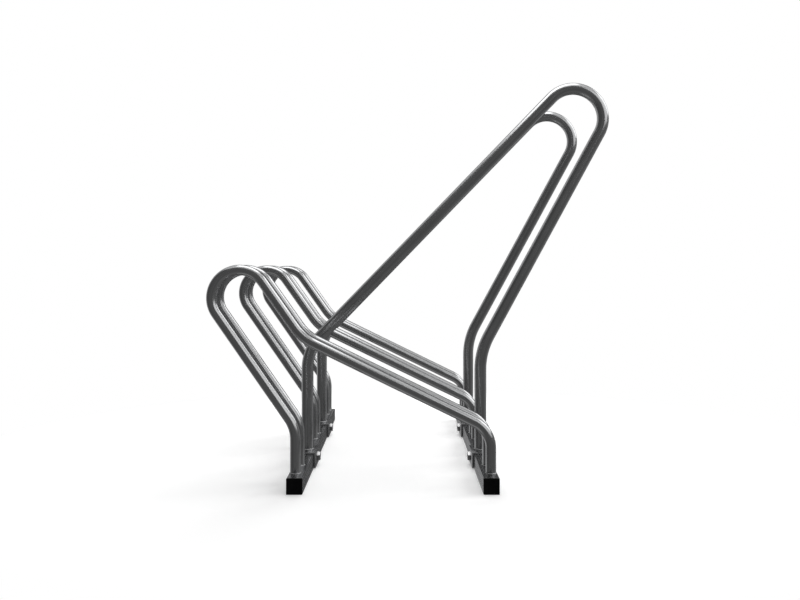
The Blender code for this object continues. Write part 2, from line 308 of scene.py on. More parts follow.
def bend(before, corner, after, radius):
    """Points of the arc that rounds the corner between two straight runs."""
    back = (before - corner).normalized()
    onward = (after - corner).normalized()
    half = back.angle(onward) / 2
    centre = corner + (back + onward).normalized() * radius / math.sin(half)
    spoke = corner + back * radius / math.tan(half) - centre
    turn = math.copysign(math.pi - 2 * half, onward.cross(back))
    return arc(centre, radius, math.atan2(spoke.y, spoke.x), turn)


def crown_arc(before, centre, radius, after):
    """Where the straight runs from and to these points touch the crown, and its arc between them."""
    start = tangent_point(before, centre, radius, 1)
    end = tangent_point(after, centre, radius, -1)
    start_angle = math.atan2(start.y - centre.y, start.x - centre.x)
    end_angle = math.atan2(end.y - centre.y, end.x - centre.x)
    turn = (start_angle - end_angle) % (2 * math.pi)
    return start, end, arc(centre, radius, start_angle, -turn)


def wheel_feet():
    """Where a wheel hoop's centre line meets the rails, in X and Z."""
    return (
        Vector((RAIL_X["left"] - WHEEL_LEG_OUTSET, RAIL_TOP)),
        Vector((RAIL_X["right"] + WHEEL_LEG_OUTSET, RAIL_TOP)),
    )


def tall_feet():
    """Where a tall hoop's centre line meets its brackets, in X and Z."""
    return (
        Vector((RAIL_X["left"] - TALL_LEG_OUTSET, BRACKET_TOP)),
        Vector((RAIL_X["right"] + TALL_LEG_OUTSET, BRACKET_TOP)),
    )


def wheel_hoop_path():
    """Centre line of a wheel hoop in X and Z, from its left foot to its right foot."""
    left_foot, right_foot = wheel_feet()
    inside = WHEEL_TUBE / 2 + WHEEL_CROWN_RADIUS
    crown = Vector((RAIL_X["left"] - WHEEL_REACH + inside, WHEEL_HEIGHT - inside))
    knee = Vector((left_foot.x, WHEEL_KNEE_HEIGHT))
    valley = Vector((RAIL_X["left"] + WHEEL_VALLEY_INSET, WHEEL_VALLEY_HEIGHT))
    shoulder = Vector((right_foot.x, WHEEL_SHOULDER_HEIGHT))
    front_run, back_run, crown_points = crown_arc(knee, crown, WHEEL_CROWN_RADIUS, valley)
    return [
        left_foot,
        *bend(left_foot, knee, front_run, WHEEL_KNEE_RADIUS),
        *crown_points,
        *bend(back_run, valley, shoulder, WHEEL_VALLEY_RADIUS),
        *bend(valley, shoulder, right_foot, WHEEL_SHOULDER_RADIUS),
        right_foot,
    ]


def tall_hoop_path():
    """Centre line of a tall hoop in X and Z, from its left foot to its right foot."""
    left_foot, right_foot = tall_feet()
    inside = TALL_TUBE / 2 + TALL_CROWN_RADIUS
    crown = Vector((RAIL_X["right"] + TALL_REACH - inside, TALL_HEIGHT - inside))
    knee = Vector((left_foot.x, TALL_KNEE_HEIGHT))
    hip = Vector((right_foot.x, TALL_HIP_HEIGHT))
    left_run, right_run, crown_points = crown_arc(knee, crown, TALL_CROWN_RADIUS, hip)
    return [
        left_foot,
        *bend(left_foot, knee, left_run, TALL_KNEE_RADIUS),
        *crown_points,
        *bend(right_run, hip, right_foot, TALL_HIP_RADIUS),
        right_foot,
    ]


def add_node(tree, kind, inputs=None, **settings):
    """A node with its settings. An input takes a value, or a socket that is linked to it."""
    node = tree.nodes.new(kind)
    for name, value in settings.items():
        setattr(node, name, value)
    for name, value in (inputs or {}).items():
        if isinstance(value, bpy.types.NodeSocket):
            tree.links.new(value, node.inputs[name])
        else:
            node.inputs[name].default_value = value
    return node


def math_node(tree, operation, *values, clamp=False):
    """The result of a sum on values or sockets."""
    given = dict(enumerate(values))
    return add_node(tree, "ShaderNodeMath", given, operation=operation, use_clamp=clamp).outputs[0]


def vector_math(tree, operation, *values):
    """The result of a sum on vectors: a number for a length or a dot product, or else a vector."""
    node = add_node(tree, "ShaderNodeVectorMath", dict(enumerate(values)), operation=operation)
    return node.outputs["Value" if operation in ("LENGTH", "DOT_PRODUCT") else "Vector"]


def stretched(tree, value, low, high, ends="LINEAR"):
    """The value stretched from 0 at low to 1 at high, with straight or soft ends."""
    spread = {"Value": value, "From Min": low, "From Max": high}
    node = add_node(tree, "ShaderNodeMapRange", spread, interpolation_type=ends)
    return node.outputs["Result"]


def blend_value(tree, share, first, second):
    """A number between two, by a share from 0 to 1."""
    spread = {"Value": share, "To Min": first, "To Max": second}
    return add_node(tree, "ShaderNodeMapRange", spread).outputs["Result"]


def grey(level):
    """A grey colour of this level."""
    return (level, level, level)


def blend_colour(tree, share, first, second):
    """A colour between two, by a share from 0 to 1."""
    mixed = add_node(tree, "ShaderNodeMix", {"Factor": share}, data_type="RGBA")
    for name, colour in (("A", first), ("B", second)):
        socket = next(item for item in mixed.inputs if item.name == name and item.type == "RGBA")
        if isinstance(colour, bpy.types.NodeSocket):
            tree.links.new(colour, socket)
        else:
            socket.default_value = (*colour, 1)
    return next(item for item in mixed.outputs if item.type == "RGBA")


def new_tree(name, kind, inputs, outputs):
    """A node group with named sockets of the given types, its input node and its output node."""
    tree = bpy.data.node_groups.new(name, kind)
    for way, sockets in (("INPUT", inputs), ("OUTPUT", outputs)):
        for socket, value in sockets.items():
            tree.interface.new_socket(socket, in_out=way, socket_type=f"NodeSocket{value}")
    return tree, tree.nodes.new("NodeGroupInput"), tree.nodes.new("NodeGroupOutput")


def captured(tree, geometry, kind, label, value):
    """The geometry with a value kept at each of its points, and that value."""
    node = add_node(tree, "GeometryNodeCaptureAttribute")
    node.capture_items.new(kind, label)
    tree.links.new(geometry, node.inputs["Geometry"])
    tree.links.new(value, node.inputs[label])
    return node.outputs["Geometry"], node.outputs[label]


def mark_number(tree, label):
    """The number that each mark holds under a label."""
    node = add_node(tree, "GeometryNodeInputNamedAttribute", {"Name": label}, data_type="FLOAT")
    return node.outputs["Attribute"]


def finish_tree(tree, geometry, material, result):
    """Ends a geometry tree: real geometry with its material."""
    real = add_node(tree, "GeometryNodeRealizeInstances", {"Geometry": geometry})
    finished = add_node(
        tree, "GeometryNodeSetMaterial", {"Geometry": real.outputs["Geometry"], "Material": material}
    )
    tree.links.new(finished.outputs["Geometry"], result.inputs[0])


def bent_tube_tree():
    """Sweeps a round tube along a chain of edges and keeps each point's place across and along it."""
    tree, given, result = new_tree(
        "bent_tube",
        "GeometryNodeTree",
        {
            "Centre Line": "Geometry",
            "Diameter": "Float",
            "Sides": "Int",
            "Grain Start": "Float",
            "Finish": "Material",
        },
        {"Tube": "Geometry"},
    )
    radius = math_node(tree, "DIVIDE", given.outputs["Diameter"], 2)
    line = add_node(tree, "GeometryNodeMeshToCurve", {"Mesh": given.outputs["Centre Line"]})
    run = add_node(tree, "GeometryNodeSplineParameter")
    path, along = captured(tree, line.outputs["Curve"], "FLOAT", "Along", run.outputs["Length"])
    ring = add_node(
        tree,
        "GeometryNodeCurvePrimitiveCircle",
        {"Resolution": given.outputs["Sides"], "Radius": radius},
    )
    place = add_node(tree, "GeometryNodeInputPosition")
    section, around = captured(tree, ring.outputs["Curve"], "VECTOR", "Around", place.outputs[0])
    swept = add_node(
        tree,
        "GeometryNodeCurveToMesh",
        {"Curve": path, "Profile Curve": section, "Fill Caps": True},
    )
    length = math_node(tree, "ADD", along, given.outputs["Grain Start"])
    lengthwise = add_node(tree, "ShaderNodeCombineXYZ", {"Z": length})
    grain = vector_math(tree, "ADD", around, lengthwise.outputs["Vector"])
    kept = add_node(
        tree,
        "GeometryNodeStoreNamedAttribute",
        {"Geometry": swept.outputs["Mesh"], "Name": "grain", "Value": grain},
        data_type="FLOAT_VECTOR",
    )
    finish_tree(tree, kept.outputs["Geometry"], given.outputs["Finish"], result)
    return tree


def repeated_tree():
    """Puts a piece at each mark, rolled about its own X axis and then turned about Z as the mark says."""
    tree, given, result = new_tree(
        "repeated",
        "GeometryNodeTree",
        {
            "Marks": "Geometry",
            "Piece": "Object",
            "Finish": "Material",
        },
        {"Pieces": "Geometry"},
    )
    piece = add_node(tree, "GeometryNodeObjectInfo", {"Object": given.outputs["Piece"]})
    angles = add_node(
        tree,
        "ShaderNodeCombineXYZ",
        {"X": mark_number(tree, "roll"), "Z": mark_number(tree, "turn")},
    )
    rotation = add_node(tree, "FunctionNodeEulerToRotation", {"Euler": angles.outputs["Vector"]})
    placed = add_node(
        tree,
        "GeometryNodeInstanceOnPoints",
        {
            "Points": given.outputs["Marks"],
            "Instance": piece.outputs["Geometry"],
            "Rotation": rotation.outputs["Rotation"],
        },
    )
    finish_tree(tree, placed.outputs["Instances"], given.outputs["Finish"], result)
    return tree


def foot_rings(tree, given):
    """A fine round line about each foot, of the radius that its mark gives."""
    circle = add_node(
        tree,
        "GeometryNodeCurvePrimitiveCircle",
        {"Resolution": given.outputs["Ring Sides"], "Radius": 1.0},
    )
    placed = add_node(
        tree,
        "GeometryNodeInstanceOnPoints",
        {
            "Points": given.outputs["Feet"],
            "Instance": circle.outputs["Curve"],
            "Scale": mark_number(tree, "radius"),
        },
    )
    rings = add_node(
        tree, "GeometryNodeRealizeInstances", {"Geometry": placed.outputs["Instances"]}
    )
    fine = add_node(
        tree,
        "GeometryNodeResampleCurve",
        {"Curve": rings.outputs["Geometry"], "Length": given.outputs["Step"]},
        mode="LENGTH",
    )
    return fine.outputs["Curve"]


def bead_relief(tree, given, along):
    """How far a bead's surface is pushed out: by ripples along it, and by patches that swell."""
    place = add_node(tree, "GeometryNodeInputPosition")
    patch = add_node(
        tree,
        "ShaderNodeTexNoise",
        {
            "Vector": place.outputs["Position"],
            "W": given.outputs["Seed"],
            "Scale": given.outputs["Patches"],
            "Detail": 2.0,
        },
        noise_dimensions="4D",
    )
    wander = math_node(tree, "SUBTRACT", patch.outputs[0], 0.5)
    spacing = math_node(tree, "DIVIDE", along, given.outputs["Ripple"])
    phase = math_node(tree, "ADD", spacing, wander)
    wave = math_node(tree, "SINE", math_node(tree, "MULTIPLY", phase, 2 * math.pi))
    ripple = math_node(tree, "MULTIPLY", wave, given.outputs["Ripple Height"])
    swelling = math_node(tree, "MULTIPLY", wander, given.outputs["Unevenness"])
    return math_node(tree, "ADD", ripple, swelling)


def weld_bead_tree():
    """A rippled bead of weld round each mark, of the radius that the mark gives."""
    tree, given, result = new_tree(
        "weld_beads",
        "GeometryNodeTree",
        {
            "Feet": "Geometry",
            "Bead": "Float",
            "Ripple": "Float",
            "Ripple Height": "Float",
            "Unevenness": "Float",
            "Patches": "Float",
            "Ring Sides": "Int",
            "Step": "Float",
            "Sides": "Int",
            "Seed": "Float",
            "Finish": "Material",
        },
        {"Beads": "Geometry"},
    )
    run = add_node(tree, "GeometryNodeSplineParameter")
    path, along = captured(tree, foot_rings(tree, given), "FLOAT", "Along", run.outputs["Length"])
    section = add_node(
        tree,
        "GeometryNodeCurvePrimitiveCircle",
        {"Resolution": given.outputs["Sides"], "Radius": given.outputs["Bead"]},
    )
    swept = add_node(
        tree,
        "GeometryNodeCurveToMesh",
        {"Curve": path, "Profile Curve": section.outputs["Curve"]},
    )
    normal = add_node(tree, "GeometryNodeInputNormal")
    push = add_node(
        tree,
        "ShaderNodeVectorMath",
        {0: normal.outputs[0], "Scale": bead_relief(tree, given, along)},
        operation="SCALE",
    )
    rough = add_node(
        tree,
        "GeometryNodeSetPosition",
        {"Geometry": swept.outputs["Mesh"], "Offset": push.outputs["Vector"]},
    )
    finish_tree(tree, rough.outputs["Geometry"], given.outputs["Finish"], result)
    return tree


def add_object(name, data):
    """A new object in the scene, at the origin."""
    added = bpy.data.objects.new(name, data)
    bpy.context.scene.collection.objects.link(added)
    return added


def finished_mesh(rough):
    """The mesh that an object's modifiers make of it. The object is removed."""
    graph = bpy.context.evaluated_depsgraph_get()
    mesh = bpy.data.meshes.new_from_object(rough.evaluated_get(graph))
    bpy.data.objects.remove(rough)
    return mesh


def baked(name, base, tree, values):
    """A plain mesh object made by running a geometry tree on a base mesh."""
    grown = add_object(name + "_base", base)
    modifier = grown.modifiers.new("shape", "NODES")
    modifier.node_group = tree
    for socket in tree.interface.items_tree:
        if socket.in_out == "INPUT" and socket.name in values:
            modifier[socket.identifier] = values[socket.name]
    mesh = finished_mesh(grown)
    mesh.name = name
    return add_object(name, mesh)


def smooth(mesh, angle=SMOOTH_ANGLE):
    """Shades a mesh smooth, apart from edges sharper than the angle."""
    mesh.shade_smooth()
    mesh.set_sharp_from_angle(angle=angle)


def chain_mesh(points):
    """A mesh of edges from each point to the next."""
    mesh = bpy.data.meshes.new("centre_line")
    mesh.from_pydata(points, [(step, step + 1) for step in range(len(points) - 1)], [])
    return mesh


def marks_mesh(points, **numbers):
    """Loose points, each with its value of every named number."""
    mesh = bpy.data.meshes.new("marks")
    mesh.from_pydata(points, [], [])
    for label, values in numbers.items():
        mesh.attributes.new(label, "FLOAT", "POINT").data.foreach_set("value", values)
    return mesh


def mesh_from(bm, name):
    """A mesh of the faces that were modelled, which are then freed."""
    mesh = bpy.data.meshes.new(name)
    bm.to_mesh(mesh)
    bm.free()
    return mesh


def shell_mesh(name, rings, closed=False):
    """A skin of faces from each ring of points to the next. Its ends are filled, or joined if closed."""
    bm = bmesh.new()
    loops = [[bm.verts.new(point) for point in ring] for ring in rings]
    pairs = list(zip(loops, loops[1:]))
    if closed:
        pairs.append((loops[-1], loops[0]))
    else:
        bm.faces.new(loops[0])
        bm.faces.new(loops[-1])
    for first, second in pairs:
        for here, corner in enumerate(first):
            after = (here + 1) % len(first)
            bm.faces.new((corner, first[after], second[after], second[here]))
    bmesh.ops.recalc_face_normals(bm, faces=bm.faces)
    mesh = mesh_from(bm, name)
    smooth(mesh)
    return mesh


def rounded_square(half, corner, y):
    """A ring of points in the plane at y: a square about the Y axis with rounded corners."""
    flat = half - corner
    points = []
    for quarter in range(4):
        start = quarter * math.pi / 2
        middle_angle = start + math.pi / 4
        centre_x = math.copysign(flat, math.cos(middle_angle))
        centre_z = math.copysign(flat, math.sin(middle_angle))
        for step in range(CORNER_POINTS):
            angle = start + step / (CORNER_POINTS - 1) * math.pi / 2
            x = centre_x + corner * math.cos(angle)
            points.append((x, y, centre_z + corner * math.sin(angle)))
    return points


def round_ring(radius, x):
    """A ring of points about the X axis, at x."""
    angles = [HEX_TURN + 2 * math.pi * step / HEX_POINTS for step in range(HEX_POINTS)]
    return [(x, radius * math.cos(angle), radius * math.sin(angle)) for angle in angles]


def hex_ring(x, chamfered=False):
    """A ring of points about the X axis on a hexagon's sides, with its corners drawn back if chamfered."""
    points = []
    for step in range(HEX_POINTS):
        angle = 2 * math.pi * step / HEX_POINTS
        off_flat = angle % (math.pi / 3) - math.pi / 6
        reach = HEX_FLATS / 2 / math.cos(off_flat)
        back = max(0.0, reach - HEX_CROWN) * HEX_CROWN_SLOPE if chamfered else 0.0
        where = angle + HEX_TURN
        place = (x - math.copysign(back, x), reach * math.cos(where), reach * math.sin(where))
        points.append(place)
    return points


def thread_rings(start, end):
    """Rings of a screw thread about the X axis, from its chamfered tip to where it goes into the nut."""
    rings = []
    count = round((end - start) / THREAD_PITCH * THREAD_ROWS)
    for row in range(count + 1):
        x = start + (end - start) * row / count
        tip = BOLT_DIAMETER / 2 - THREAD_DEPTH + (x - start)
        points = []
        for step in range(HEX_POINTS):
            turn = step / HEX_POINTS
            wave = abs(2 * ((x / THREAD_PITCH - turn) % 1) - 1)
            radius = min(tip, BOLT_DIAMETER / 2 - THREAD_DEPTH * wave)
            angle = HEX_TURN + 2 * math.pi * turn
            points.append((x, radius * math.cos(angle), radius * math.sin(angle)))
        rings.append(points)
    return rings


def stand_in(piece, slot, *nodes):
    """Puts a finished piece in place of its nodes."""
    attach(piece, "root")
    if nodes:
        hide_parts(*nodes)


def keep_grain(mesh, centre):
    """Stores each point's place across and along a straight piece, for the grain of its metal."""
    grain = mesh.attributes.new("grain", "FLOAT_VECTOR", "POINT")
    for vertex, value in zip(mesh.vertices, grain.data):
        off = vertex.co - centre
        value.vector = (off.x, off.z, vertex.co.y)


def repeat(name, mesh, marks, tree, finish):
    """One piece made of copies of a mesh, at marks that give a place, a roll about X and a turn about Z."""
    source = bpy.data.objects.new(f"{name}_source", mesh)
    places, rolls, turns = zip(*marks)
    points = marks_mesh(places, roll=rolls, turn=turns)
    piece = baked(name, points, tree, {"Piece": source, "Finish": finish})
    bpy.data.objects.remove(source)
    return piece


def add_hoop(node, path, diameter, tree, finish):
    """A bent tube in place of a hoop's node."""
    y = middle(node).y
    line = chain_mesh([(point.x, y, point.y) for point in path])
    values = {
        "Diameter": diameter,
        "Sides": TUBE_SIDES,
        "Grain Start": GRAIN_SHIFT * y,
        "Finish": finish,
    }
    hoop = baked(f"{node}_tube", line, tree, values)
    smooth(hoop.data, TUBE_SMOOTH_ANGLE)
    stand_in(hoop, "steel", node)


def add_hoops(finish):
    """The six wheel hoops and the two tall hoops."""
    tree = bent_tube_tree()
    wheel_path = wheel_hoop_path()
    for node in WHEEL_HOOPS:
        add_hoop(node, wheel_path, WHEEL_TUBE, tree, finish)
    tall_path = tall_hoop_path()
    for node in TALL_HOOPS:
        add_hoop(node, tall_path, TALL_TUBE, tree, finish)


def add_rail(side, finish):
    """A square tube with rounded corners, open at its ends."""
    low, high = RAIL[side]
    half = (high.z - low.z) / 2
    bore = half - RAIL_WALL
    rings = [
        rounded_square(half, RAIL_CORNER, low.y),
        rounded_square(half, RAIL_CORNER, high.y),
        rounded_square(bore, RAIL_BORE_CORNER, high.y),
        rounded_square(bore, RAIL_BORE_CORNER, low.y),
    ]
    mesh = shell_mesh(f"rail_{side}_tube", rings, closed=True)
    centre = middle(f"rail_{side}")
    mesh.transform(Matrix.Translation((centre.x, 0, centre.z)))
    keep_grain(mesh, centre)
    mesh.materials.append(finish)
    stand_in(add_object(mesh.name, mesh), "steel", f"rail_{side}")


def plug_mesh():
    """A plug with its face at y = 0, a finned stem along +Y and the stem's hollow end."""
    half = (RAIL["left"][1].z - RAIL["left"][0].z) / 2
    low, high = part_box("plug_left_front")
    depth = high.y - low.y
    face = half - PLUG_EDGE
    chamfer = PLUG_EDGE / 2
    rings = [
        rounded_square(face - 2 * PLUG_EDGE, PLUG_CORNER, PLUG_DISH),
        rounded_square(face - PLUG_EDGE, PLUG_CORNER, 0),
    ]
    for step in range(PLUG_EDGE_STEPS + 1):
        angle = step / PLUG_EDGE_STEPS * math.pi / 2
        grown = face + PLUG_EDGE * math.sin(angle)
        rings.append(rounded_square(grown, PLUG_CORNER, PLUG_EDGE * (1 - math.cos(angle))))
    rings.append(rounded_square(half, PLUG_CORNER, PLUG_FLANGE - chamfer))
    rings.append(rounded_square(half - chamfer, PLUG_CORNER, PLUG_FLANGE))
    rings.append(rounded_square(PLUG_STEM, PLUG_CORNER, PLUG_FLANGE))
    for fin in range(PLUG_FINS):
        middle_y = PLUG_FLANGE + (depth - PLUG_FLANGE) * (fin + 1) / (PLUG_FINS + 1)
        front_y = middle_y - PLUG_FIN_THICKNESS / 2
        rear_y = middle_y + PLUG_FIN_THICKNESS / 2
        rings.append(rounded_square(PLUG_STEM, PLUG_CORNER, front_y))
        rings.append(rounded_square(PLUG_FIN, PLUG_CORNER, middle_y))
        rings.append(rounded_square(PLUG_STEM, PLUG_CORNER, rear_y))
    well = PLUG_STEM - PLUG_STEM_WALL
    rings.append(rounded_square(PLUG_STEM, PLUG_CORNER, depth))
    rings.append(rounded_square(well, PLUG_CORNER / 2, depth))
    rings.append(rounded_square(well, PLUG_CORNER / 2, PLUG_FLANGE))
    return shell_mesh("plug", rings)


def add_plugs(tree, finish):
    """The plastic plugs in the rails' ends."""
    nodes = [f"plug_{side}_{end}" for side in SIDES for end in ENDS]
    marks = []
    for node in nodes:
        low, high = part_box(node)
        at_front = node.endswith("front")
        face_y = low.y if at_front else high.y
        place = (middle(node).x, face_y, (low.z + high.z) / 2)
        marks.append((place, 0.0, 0.0 if at_front else math.pi))
    plugs = repeat("rail_end_plugs", plug_mesh(), marks, tree, finish)
    stand_in(plugs, "plastic", *nodes)


def bracket_mesh():
    """A plate folded down over both sides of a rail, about x = 0 and y = 0."""
    low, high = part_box("saddle_bracket_left_1")
    inside = (high.x - low.x) / 2 - BRACKET_PLATE
    length = high.y - low.y
    height = high.z - BRACKET_PLATE - low.z
    bm = bmesh.new()
    bmesh.ops.create_cube(bm, size=1)
    bmesh.ops.scale(bm, vec=(2 * inside, length, height), verts=bm.verts)
    bmesh.ops.translate(bm, vec=(0, 0, low.z + height / 2), verts=bm.verts)
    open_sides = [face for face in bm.faces if face.normal.z < -0.5 or abs(face.normal.y) > 0.5]
    bmesh.ops.delete(bm, geom=open_sides, context="FACES")
    bmesh.ops.bevel(
        bm,
        geom=[vert for vert in bm.verts if vert.co.z < height / 2],
        offset=BRACKET_CORNER_RADIUS,
        segments=BRACKET_CORNER_STEPS,
        profile=0.5,
        affect="VERTICES",
    )
    folded = add_object("bracket", mesh_from(bm, "saddle_bracket"))
    plate = folded.modifiers.new("plate", "SOLIDIFY")
    plate.thickness = BRACKET_PLATE
    plate.offset = 1
    plate.use_even_offset = True
    edge = folded.modifiers.new("edge", "BEVEL")
    edge.width = BRACKET_EDGE
    edge.segments = BRACKET_EDGE_STEPS
    edge.limit_method = "ANGLE"
    edge.angle_limit = BRACKET_EDGE_ANGLE
    mesh = finished_mesh(folded)
    smooth(mesh)
    return mesh


def add_brackets(tree, finish):
    """The saddle brackets that carry the tall hoops."""
    nodes = [f"saddle_bracket_{bolt}" for bolt in BOLTED]
    marks = [((middle(node).x, middle(node).y, 0), 0.0, 0.0) for node in nodes]
    mesh = bracket_mesh()
    keep_grain(mesh, Vector((0, 0, RAIL_TOP / 2)))
    brackets = repeat("saddle_brackets", mesh, marks, tree, finish)
    stand_in(brackets, "steel", *nodes)


def bolt_mesh(seat, face, nut_face, tail):
    """A hexagon bolt about the X axis: its head from seat to face, its threaded tail at -X."""
    dish = HEX_CROWN - HEAD_RIM
    rings = [
        *thread_rings(-tail, -nut_face + THREAD_PITCH),
        round_ring(BOLT_DIAMETER / 2, -nut_face + 2 * THREAD_PITCH),
        round_ring(BOLT_DIAMETER / 2, seat),
        hex_ring(seat),
        hex_ring(face, chamfered=True),
        round_ring(HEX_CROWN, face),
        round_ring(dish, face),
        round_ring(dish - HEAD_DISH, face - HEAD_DISH),
    ]
    return shell_mesh("bolt", rings)


def nut_mesh(seat, face):
    """A hexagon nut about the X axis, from -seat to -face, chamfered at its outer face and bore."""
    bore = BOLT_DIAMETER / 2 + NUT_CLEARANCE
    mouth = bore + THREAD_DEPTH
    rings = [
        round_ring(bore, -seat),
        hex_ring(-seat),
        hex_ring(-face, chamfered=True),
        round_ring(HEX_CROWN, -face),
        round_ring(mouth, -face),
        round_ring(bore, -face + THREAD_DEPTH),
    ]
    return shell_mesh("nut", rings, closed=True)


def washer_mesh(inner_x, outer_x, radius):
    """A flat washer about the X axis with its edges rounded."""
    bore = BOLT_DIAMETER / 2 + WASHER_CLEARANCE
    edge = math.copysign(WASHER_EDGE, outer_x)
    rings = [
        round_ring(bore, inner_x),
        round_ring(radius - WASHER_EDGE, inner_x),
        round_ring(radius, inner_x + edge),
        round_ring(radius, outer_x - edge),
        round_ring(radius - WASHER_EDGE, outer_x),
        round_ring(bore, outer_x),
    ]
    return shell_mesh("washer", rings, closed=True)


def add_fasteners(tree, finish):
    """The bolts through the brackets and rails, with their washers and nuts."""
    centre = RAIL_X["left"]
    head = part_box("bolt_left_1")
    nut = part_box("nut_left_1")
    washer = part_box("nut_washer_left_1")
    head_face = head[1].x - centre
    nut_face = centre - nut[0].x
    nut_seat = centre - washer[0].x
    washer_radius = (washer[1].z - washer[0].z) / 2
    meshes = {
        "bolt": bolt_mesh(head_face - HEAD_THICKNESS, head_face, nut_face, centre - head[0].x),
        "nut": nut_mesh(nut_seat, nut_face),
        "nut_washer": washer_mesh(washer[1].x - centre, -nut_seat, washer_radius),
    }
    marks = []
    for bolt in BOLTED:
        place = middle(f"nut_washer_{bolt}")
        side = bolt.split("_")[0]
        turn = 0.0 if side == "left" else math.pi
        marks.append(((RAIL_X[side], place.y, place.z), HEX_ROLL[side], turn))
    for kind, mesh in meshes.items():
        piece = repeat(f"{kind}s", mesh, marks, tree, finish)
        stand_in(piece, "zinc", *[f"{kind}_{bolt}" for bolt in BOLTED])


def add_weld_beads(name, nodes, feet, tube, bead, tree, finish):
    """The beads of weld round both feet of some hoops."""
    up = BEAD_UP * bead
    points = [(foot.x, middle(node).y, foot.y + up) for node in nodes for foot in feet]
    marks = marks_mesh(points, radius=[tube / 2 + BEAD_OUT * bead] * len(points))
    values = {
        "Bead": bead,
        "Ripple": BEAD_RIPPLE,
        "Ripple Height": BEAD_RIPPLE_HEIGHT,
        "Unevenness": BEAD_UNEVENNESS,
        "Patches": BEAD_PATCHES,
        "Ring Sides": BEAD_RING_SIDES,
        "Step": BEAD_STEP,
        "Sides": BEAD_SIDES,
        "Seed": BEAD_SEED,
        "Finish": finish,
    }
    beads = baked(name, marks, tree, values)
    smooth(beads.data, BEAD_SMOOTH_ANGLE)
    stand_in(beads, "steel")


def add_welds(finish):
    """The weld beads under the wheel hoops and the tall hoops."""
    tree = weld_bead_tree()
    wheel = (wheel_feet(), WHEEL_TUBE, WHEEL_BEAD)
    tall = (tall_feet(), TALL_TUBE, TALL_BEAD)
    add_weld_beads("wheel_hoop_welds", WHEEL_HOOPS, *wheel, tree, finish)
    add_weld_beads("tall_hoop_welds", TALL_HOOPS, *tall, tree, finish)


def drawn_lines_group():
    """Fine lines along a metal's grain, broken up by slower patches. All its sizes are in metres."""
    tree, given, result = new_tree(
        "drawn_lines",
        "ShaderNodeTree",
        {
            "Grain": "Vector",
            "Line Width": "Float",
            "Line Length": "Float",
            "Patch Size": "Float",
        },
        {"Lines": "Float", "Patches": "Float"},
    )
    across = math_node(tree, "DIVIDE", 1.0, given.outputs["Line Width"])
    along = math_node(tree, "DIVIDE", 1.0, given.outputs["Line Length"])
    stretch = add_node(tree, "ShaderNodeCombineXYZ", {"X": across, "Y": across, "Z": along})
    drawn = vector_math(tree, "MULTIPLY", given.outputs["Grain"], stretch.outputs["Vector"])
    lines = add_node(
        tree,
        "ShaderNodeTexNoise",
        {"Vector": drawn, "Scale": 1.0, "Detail": 3.0, "Roughness": 0.6},
    )
    tighter = math_node(tree, "DIVIDE", 1.0, given.outputs["Patch Size"])
    patches = add_node(
        tree,
        "ShaderNodeTexNoise",
        {"Vector": given.outputs["Grain"], "Scale": tighter, "Detail": 2.0},
    )
    tree.links.new(stretched(tree, lines.outputs[0], *LINES_SPREAD), result.inputs["Lines"])
    tree.links.new(stretched(tree, patches.outputs[0], *LINES_SPREAD), result.inputs["Patches"])
    return tree


def settled_dust_group():
    """Where dust lies: on what faces up, in soft patches whose size is in metres."""
    tree, given, result = new_tree(
        "settled_dust",
        "ShaderNodeTree",
        {"Patch Size": "Float", "Amount": "Float"},
        {"Dust": "Float"},
    )
    place = add_node(tree, "ShaderNodeTexCoord")
    tighter = math_node(tree, "DIVIDE", 1.0, given.outputs["Patch Size"])
    patches = add_node(
        tree,
        "ShaderNodeTexNoise",
        {"Vector": place.outputs["Object"], "Scale": tighter, "Detail": 4.0},
    )
    facing = add_node(tree, "ShaderNodeSeparateXYZ", {"Vector": place.outputs["Normal"]})
    upward = stretched(tree, facing.outputs["Z"], *DUST_SLOPE)
    patchy = stretched(tree, patches.outputs[0], *DUST_SPREAD)
    lying = math_node(tree, "MULTIPLY", patchy, upward)
    dust = math_node(tree, "MULTIPLY", lying, given.outputs["Amount"], clamp=True)
    tree.links.new(dust, result.inputs["Dust"])
    return tree


def group_node(tree, group, inputs):
    """The outputs of a shader group that is placed in a material with its own values."""
    return add_node(tree, "ShaderNodeGroup", inputs, node_tree=group).outputs


def new_material(name):
    """An empty material: its node tree and its output node."""
    material = bpy.data.materials.new(name)
    material.use_nodes = True
    material.node_tree.nodes.clear()
    return material, material.node_tree, add_node(material.node_tree, "ShaderNodeOutputMaterial")


def principled(tree, output, colour, roughness, height, relief, fixed):
    """The shader of a finish, with what varies linked and what doesn't set on its own sockets."""
    bump = add_node(tree, "ShaderNodeBump", {"Height": height, "Distance": relief, "Strength": 1.0})
    varying = {"Base Color": colour, "Roughness": roughness, "Normal": bump.outputs["Normal"]}
    shader = add_node(tree, "ShaderNodeBsdfPrincipled", {**varying, **fixed})
    tree.links.new(shader.outputs[0], output.inputs["Surface"])


def steel_finish(name, lines_group, dust_group, smooth_and_rough):
    """Bare drawn steel with fine lines along each tube."""
    material, tree, output = new_material(name)
    grain = add_node(tree, "ShaderNodeAttribute", attribute_name="grain")
    drawn = group_node(tree, lines_group, {"Grain": grain.outputs["Vector"], **STEEL_LINES})
    dust = group_node(tree, dust_group, STEEL_DUST)
    shade = math_node(tree, "MULTIPLY_ADD", drawn["Patches"], STEEL_PATCH_SHARE, drawn["Lines"])
    shade = math_node(tree, "DIVIDE", shade, 1 + STEEL_PATCH_SHARE)
    metal = blend_colour(tree, shade, STEEL_DARK, STEEL_LIGHT)
    colour = blend_colour(tree, dust["Dust"], metal, DUST_COLOUR)
    roughness = blend_value(tree, shade, *smooth_and_rough)
    principled(tree, output, colour, roughness, drawn["Lines"], STEEL_RELIEF, METAL)
    return material


